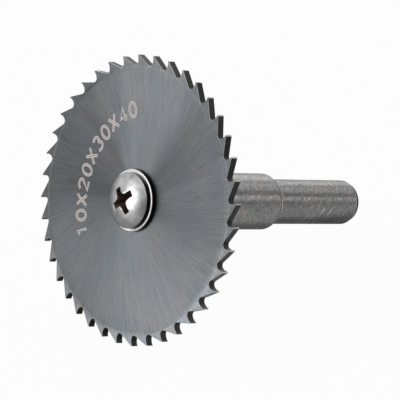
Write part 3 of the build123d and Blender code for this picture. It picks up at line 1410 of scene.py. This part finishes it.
@dataclass
class ClampScrew:
    """Pan-head screw with a cross recess and a rolled thread on its stud."""

    head_radius: float = 4.85
    head_seat: float = 0.8
    wall_height: float = 0.67
    dome_height: float = 1.65
    edge_radius: float = 0.12
    stud_radius: float = 2.5
    core_radius: float = 2.12
    neck_height: float = 0.5
    stud_end: float = -11.2
    point_chamfer: float = 0.6
    thread_pitch: float = 0.8
    thread_runout: float = 1.0
    thread_sink: float = 0.03
    thread_steps: int = 40
    recess_mouth: Triple = (5.5, 1.25, 0.7)
    recess_floor: Triple = (2.5, 0.75, 0.2)
    recess_depth: float = 2.7
    recess_turn: float = 52.5
    bend_steps: int = 8
    arm_end_steps: int = 6
    arm_side_steps: int = 5
    lip: float = 0.07
    lip_rise: float = 0.35
    lip_share: float = 0.03
    lip_rounds: int = 12
    wall_rows: int = 8
    fine_radius: float = 3.2
    fine_spacing: float = 0.22
    fine_gap: float = 0.6
    dome_margin: float = 0.16
    dome_steps: int = 14
    wall_slack: float = 0.02
    segments: int = 160

    @property
    def dome_foot(self) -> float:
        """Height at which the dome would meet the side wall."""
        return self.head_seat + self.wall_height

    @property
    def head_top(self) -> float:
        """Height of the top of the dome."""
        return self.dome_foot + self.dome_height

    def zone(self, first: Pair, second: Pair) -> Zone:
        """Zone of the run between two points of the section: SIDE on the wall, and FACE elsewhere."""
        on_wall = min(first[0], second[0]) > self.head_radius - self.wall_slack
        return Zone.SIDE if on_wall and max(first[1], second[1]) < self.dome_foot else Zone.FACE

    def dome(self, x: float, y: float) -> float:
        """Height of the dome's sphere over a point."""
        sphere = (self.head_radius**2 + self.dome_height**2) / (2 * self.dome_height)
        return self.head_top - (sphere - sqrt(sphere**2 - x * x - y * y))

    def cross(self, span: float, slot: float, rounding: float) -> list[Vector]:
        """Outline of the recess at one height, counter-clockwise.

        Args:
            span: From the end of an arm to the end of the one opposite.
            slot: Width of an arm.
            rounding: Radius between two arms.

        Returns:
            The outline's points.
        """
        half, arm = span / 2, slot / 2
        centre = Vector((arm + rounding, arm + rounding))
        bend = arc(centre, Vector((centre.x, arm)), Vector((arm, centre.y)), self.bend_steps)
        first, last, far = Vector((half, -arm)), Vector((half, arm)), Vector((arm, half))
        shares = fractions(0.0, 1.0, self.arm_side_steps)[1:-1]
        quarter = [first.lerp(last, share) for share in fractions(0.0, 1.0, self.arm_end_steps)]
        quarter += [last.lerp(bend[0], share) for share in shares] + bend
        quarter += [bend[-1].lerp(far, share) for share in shares]
        turned = []
        for turn in range(4):
            spin = Matrix.Rotation(turn * pi / 2 + radians(self.recess_turn), 2)
            turned += [spin @ point for point in quarter]
        return turned

    def recess(self, piece: Piece) -> Row:
        """Lip, walls and floor of the recess.

        Args:
            piece: The mesh in the making.

        Returns:
            The vertices of the lip's outline on the dome.
        """
        lip, rows = [], [[] for _ in range(self.wall_rows)]
        for top, bottom in zip(self.cross(*self.recess_mouth), self.cross(*self.recess_floor)):
            # The wall meets the dome where both are as high, which a few rounds find.
            meet = 0.0
            for _ in range(self.lip_rounds):
                meet = (self.head_top - self.dome(*top.lerp(bottom, meet))) / self.recess_depth
            edge = top.lerp(bottom, meet) + (top - bottom).normalized() * self.lip
            lip.append(Vector((*edge, self.dome(*edge))))
            for row, share in zip(rows, fractions(meet + self.lip_share, 1.0, self.wall_rows - 1)):
                row.append(Vector((*top.lerp(bottom, share), self.head_top - self.recess_depth * share)))
        raised = Vector((0.0, 0.0, self.lip_rise * self.lip))
        soft = [(outer + inner) / 2 + raised for outer, inner in zip(lip, rows[0])]
        rings = [piece.row(points) for points in (lip, soft, *rows)]
        piece.strips(rings, [Zone.FACE] * 2 + [Zone.RECESS] * (self.wall_rows - 1), closed=True)
        piece.face(rings[-1], Zone.RECESS)
        return rings[0]

    def head(self, piece: Piece) -> None:
        """Dome, rim, side wall and the stud below, as one closed skin.

        Args:
            piece: The mesh in the making.
        """
        rim = self.recess(piece)
        dome_end = self.head_radius - self.dome_margin
        section = [(r, self.dome(r, 0.0)) for r in fractions(self.fine_radius, dome_end, self.dome_steps)]
        corners = [
            (dome_end, self.dome(dome_end, 0.0), 0.0),
            (self.head_radius, self.dome_foot, self.edge_radius),
            (self.head_radius, self.head_seat, self.edge_radius),
            (self.stud_radius, self.head_seat, 0.0),
            (self.core_radius, self.head_seat - self.neck_height, 0.0),
            (self.core_radius, self.stud_end + self.point_chamfer, 0.0),
            (self.stud_radius - self.point_chamfer, self.stud_end, 0.0),
            (0.0, self.stud_end, 0.0),
        ]
        section += rounded(corners, steps=4)[1:]
        rings = piece.turn_section(section, self.zone, self.segments)
        spacing = self.fine_spacing
        count = int(self.fine_radius / spacing) + 1
        steps = range(-count, count + 1)
        outline = [vertex.co.xy for vertex in rim]
        inside = [
            point
            for point in [Vector((i * spacing, j * spacing)) for i in steps for j in steps]
            if point.length < self.fine_radius - spacing / 2
            and min((corner - point).length for corner in outline) > spacing * self.fine_gap
        ]
        piece.fill([rings[0], rim], inside, Zone.FACE, self.dome)

    def thread(self, spindle: Spindle, material: Material) -> None:
        """Ridge of the thread, which follows a helix round the stud's core.

        Args:
            spindle: Where the tool lies.
            material: The ridge's material.
        """
        foot = self.stud_end + self.point_chamfer
        length = self.head_seat - self.thread_runout - foot
        sizes = {
            "Turns": length / self.thread_pitch,
            "Length": length,
            "Path Radius": self.core_radius - self.thread_sink,
            "Ridge": self.stud_radius - self.core_radius + self.thread_sink,
            "Foot": foot,
        }
        start = linked("stud_thread", bpy.data.meshes.new("stud_thread"))
        recipe = Recipe("ridge_on_helix", sizes)
        given = recipe.given
        inputs = {
            "Resolution": self.thread_steps,
            "Rotations": given["Turns"],
            "Start Radius": given["Path Radius"],
            "End Radius": given["Path Radius"],
            "Height": given["Length"],
        }
        helix = recipe.out("GeometryNodeCurveSpiral", inputs)
        raised = {"Geometry": helix, "Translation": recipe.out("ShaderNodeCombineXYZ", {2: given["Foot"]})}
        path = recipe.out("GeometryNodeTransform", raised)
        corners = {"Resolution": 3, "Radius": given["Ridge"]}
        profile = recipe.out("GeometryNodeCurvePrimitiveCircle", corners, mode="RADIUS")
        recipe.end(recipe.sweep(path, profile), material)
        lay_down(recipe.run(start), spindle, Slot.PLATED)

    def build(self, spindle: Spindle) -> None:
        """Builds and dresses the screw.

        Args:
            spindle: Where the tool lies.
        """
        piece = Piece("pan_head_screw")
        self.head(piece)
        built = piece.finish()
        finishes = {
            Zone.FACE: SatinNickel(unevenness=0.15, grain=0.18).material(spindle),
            # Painted shade: the head's side wall is drawn nearly black and the recess dark brown.
            Zone.SIDE: PaintedShadeSteel().material(spindle),
            Zone.RECESS: PaintedShadeSteel(colour=(0.22, 0.165, 0.145), roughness=0.5).material(spindle),
        }
        dress_by_zone(built, finishes)
        lay_down(built, spindle, Slot.PLATED, "clamp_screw", sharp=50.0)
        self.thread(spindle, finishes[Zone.FACE])


def towards_point(azimuth: float, elevation: float) -> Vector:
    """Direction to a point round the tool, in degrees from its front and above the bench."""
    side, rise = radians(azimuth), radians(elevation)
    return Vector((sin(side) * cos(rise), -cos(side) * cos(rise), sin(rise)))


@dataclass(frozen=True)
class Softbox:
    """Square lamp that looks at the tool from one side."""

    name: str
    azimuth: float
    elevation: float
    distance: float
    width: float
    height: float
    radiance: float

    def place(self, target: Vector) -> None:
        """Hangs the lamp so that it looks at the target.

        Args:
            target: The point that it looks at.
        """
        lamp = bpy.data.lights.new(self.name, "AREA")
        lamp.shape = "RECTANGLE"
        lamp.size, lamp.size_y = self.width, self.height
        lamp.energy = self.radiance * pi * self.width * self.height
        towards = towards_point(self.azimuth, self.elevation)
        stand = linked(self.name, lamp)
        stand.location = target + towards * self.distance
        stand.rotation_euler = towards.to_track_quat("Z", "Y").to_euler()
        stand.visible_camera = False


@dataclass
class Studio:
    """Floor, lamps, surrounding light and camera.

    The steel mirrors the floor, which glows in three patches that only the steel's reflections see: painted
    reflections of light. A patch grows to its full level from the first to the second place of a pair, in
    metres, along the floor's X or Y.
    """

    floor_size: float = 8.0
    floor_drop: float = 0.00002
    floor_colour: Triple = (0.4, 0.4, 0.4)
    floor_white: float = 0.97
    mirrored: float = 0.1
    beside_arbor: tuple[float, Pair, Pair, Pair] = (0.72, (0.002, 0.011), (0.085, 0.045), (-0.03, -0.01))
    in_front: tuple[float, Pair, Pair] = (0.95, (0.02, -0.01), (-0.035, -0.1))
    behind_blade: tuple[float, Pair, Pair] = (0.5, (-0.01, -0.022), (-0.024, -0.014))
    world_light: float = 0.5
    flag_azimuth: float = 38.0
    flag_elevation: float = 4.0
    flag_edge: Pair = (0.76, 0.95)
    flag_depth: float = 0.7
    camera_azimuth: float = 52.593
    camera_elevation: float = 32.352
    camera_roll: float = -2.024
    camera_distance: float = 0.499568
    camera_right: float = 0.0112333
    camera_up: float = 0.0000611
    focal_length: float = 262.742
    lamps: tuple[Softbox, ...] = (
        Softbox("front_softbox", -17.0, 15.0, 0.6, 0.36, 0.48, 2.7),
        Softbox("fill_softbox", -42.0, 35.0, 0.6, 0.22, 0.2, 1.3),
        Softbox("top_softbox", -20.0, 62.0, 0.8, 0.6, 0.5, 0.5),
        Softbox("left_softbox", -80.0, 14.0, 0.7, 0.5, 0.35, 0.4),
        Softbox("back_softbox", -180.0, 24.0, 0.7, 0.36, 0.3, 0.9),
        Softbox("strip_softbox", 142.0, 8.0, 0.6, 0.26, 0.09, 1.8),
        Softbox("rim_softbox", -147.0, 13.0, 0.6, 0.26, 0.26, 1.5),
        Softbox("side_softbox", -112.0, 20.0, 0.7, 0.4, 0.4, 2.2),
    )

    def painted_reflection_level(self, graph: ShaderGraph) -> Socket:
        """How pale the floor looks in the steel, with its patches of painted reflection.

        Args:
            graph: The graph of the floor's material.

        Returns:
            The share of white, from 0 to 1.
        """
        x, y, _ = graph.split(graph.position())
        pale, near_x, far_x, along_y = self.beside_arbor
        beside = graph.product(*(graph.between(*item) for item in ((x, *near_x), (x, *far_x), (y, *along_y))))
        level = graph.between(beside, 0.0, 1.0, self.mirrored, pale)
        for pale, along_x, along_y in (self.in_front, self.behind_blade):
            patch = graph.product(graph.between(x, *along_x), graph.between(y, *along_y), pale)
            level = graph.math("MAXIMUM", level, patch)
        return level

    def floor(self) -> None:
        """Floor that the camera sees nearly white, with the tool's faint shadow on it."""
        half = self.floor_size / 2
        mesh = bpy.data.meshes.new("floor")
        corners = [(-half, -half, 0.0), (half, -half, 0.0), (half, half, 0.0), (-half, half, 0.0)]
        mesh.from_pydata(corners, [], [(0, 1, 2, 3)])
        plane = linked("floor", mesh)
        plane.location.z = -self.floor_drop
        material = bpy.data.materials.new("floor_white")
        material.use_nodes = True
        graph = ShaderGraph(material.node_tree)
        material.node_tree.nodes.clear()
        path = graph.add("ShaderNodeLightPath").outputs
        mirrored = graph.math("MAXIMUM", path["Is Glossy Ray"], path["Is Transmission Ray"])
        seen = graph.product(path["Is Camera Ray"], self.floor_white)
        share = graph.math("MAXIMUM", seen, graph.product(mirrored, self.painted_reflection_level(graph)))
        matt = graph.out("ShaderNodeBsdfDiffuse", {"Color": (*self.floor_colour, 1.0)})
        white = graph.out("ShaderNodeEmission", {"Color": (1.0, 1.0, 1.0, 1.0), "Strength": 1.0})
        mixed = graph.out("ShaderNodeMixShader", {0: share, 1: matt, 2: white})
        graph.add("ShaderNodeOutputMaterial", {"Surface": mixed})
        mesh.materials.append(material)

    def surroundings(self) -> None:
        """Even light from all sides, but for a dark flag that dims the right side of the screw's head."""
        world = bpy.data.worlds.new("studio")
        world.use_nodes = True
        graph = ShaderGraph(world.node_tree)
        backdrop = world.node_tree.nodes["Background"]
        backdrop.inputs["Color"].default_value = (1.0, 1.0, 1.0, 1.0)
        looking = graph.out("ShaderNodeTexCoord")
        near = graph.vector("DOT_PRODUCT", looking, towards_point(self.flag_azimuth, self.flag_elevation))
        dimmed = self.world_light * (1 - self.flag_depth)
        graph.put(backdrop.inputs["Strength"], graph.between(near, *self.flag_edge, self.world_light, dimmed))
        bpy.context.scene.world = world

    def camera(self, blade_centre: Vector) -> None:
        """Camera at the photograph's viewing angle.

        Args:
            blade_centre: Middle of the blade's front face.
        """
        back = towards_point(self.camera_azimuth, self.camera_elevation)
        level = towards_point(self.camera_azimuth + 90.0, 0.0)
        right = Matrix.Rotation(radians(self.camera_roll), 3, back) @ level
        up = back.cross(right)
        data = bpy.data.cameras.new("camera")
        data.sensor_width = 36.0
        data.lens = self.focal_length
        data.clip_start, data.clip_end = 0.01, 50.0
        view = linked("camera", data)
        turn = Matrix((right, up, back)).transposed().to_4x4()
        offset = right * self.camera_right + up * self.camera_up + back * self.camera_distance
        view.matrix_world = Matrix.Translation(blade_centre + offset) @ turn
        bpy.context.scene.camera = view

    def build(self, spindle: Spindle) -> None:
        """Sets up the studio round the tool.

        Args:
            spindle: Where the tool lies.
        """
        self.floor()
        self.surroundings()
        self.camera(spindle.centre)
        low, high = cad_box
        middle = (Vector(low) + Vector(high)) / 2
        for lamp in self.lamps:
            lamp.place(middle)
        bpy.context.scene.view_settings.view_transform = "Standard"


def main() -> None:
    """Builds the studio and the pieces."""
    logging.basicConfig(level=logging.INFO, format="%(name)s: %(message)s")
    arbor = Arbor()
    spindle = Spindle(frame["record"], arbor.shank_middle)
    Studio().build(spindle)
    for part in (SawBlade(), SizeMark(), arbor, Washer(), ClampScrew()):
        part.build(spindle)


if __name__ == "__main__":
    main()
